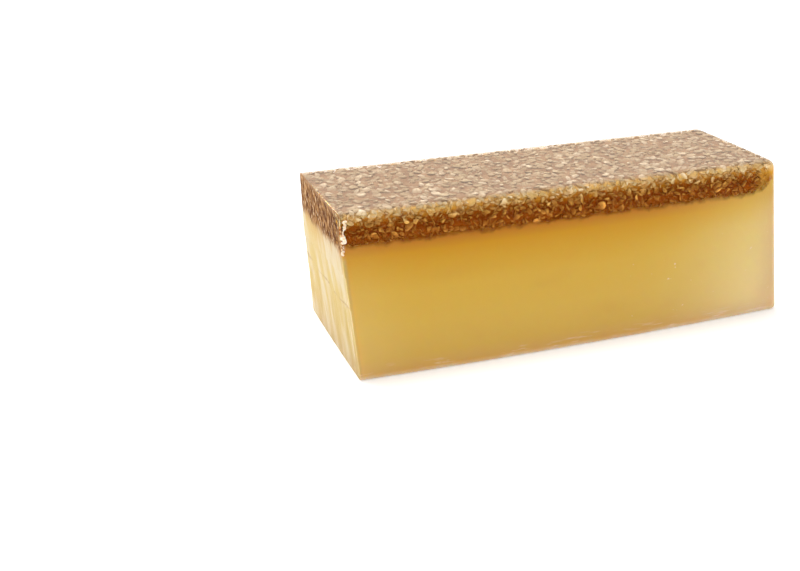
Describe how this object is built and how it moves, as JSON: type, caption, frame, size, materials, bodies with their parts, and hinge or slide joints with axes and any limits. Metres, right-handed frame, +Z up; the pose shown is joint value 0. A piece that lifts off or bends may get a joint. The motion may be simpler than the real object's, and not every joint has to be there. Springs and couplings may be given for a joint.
{
  "type": "bar of soap",
  "caption": "Long loaf-shaped bar of clear amber soap with an oat-flake layer on top, rounded mould edges and one knife-cut end.",
  "frame": {"origin": "centre of the bar's bounding box in plan, on the surface it stands on", "axes": "+X along the loaf from the cut end to the moulded end, +Y across it to the back, +Z up to the oat side"},
  "size_m": [0.2091, 0.0806, 0.07],
  "materials": {
    "amber_soap": "cloudy translucent amber with a soft gloss, matt on the cut end",
    "oat_flakes": "cream and tan oat flakes set in the soap"
  },
  "bodies": {
    "root": {"soap_bar": "amber_soap"}
  },
  "joints": []
}
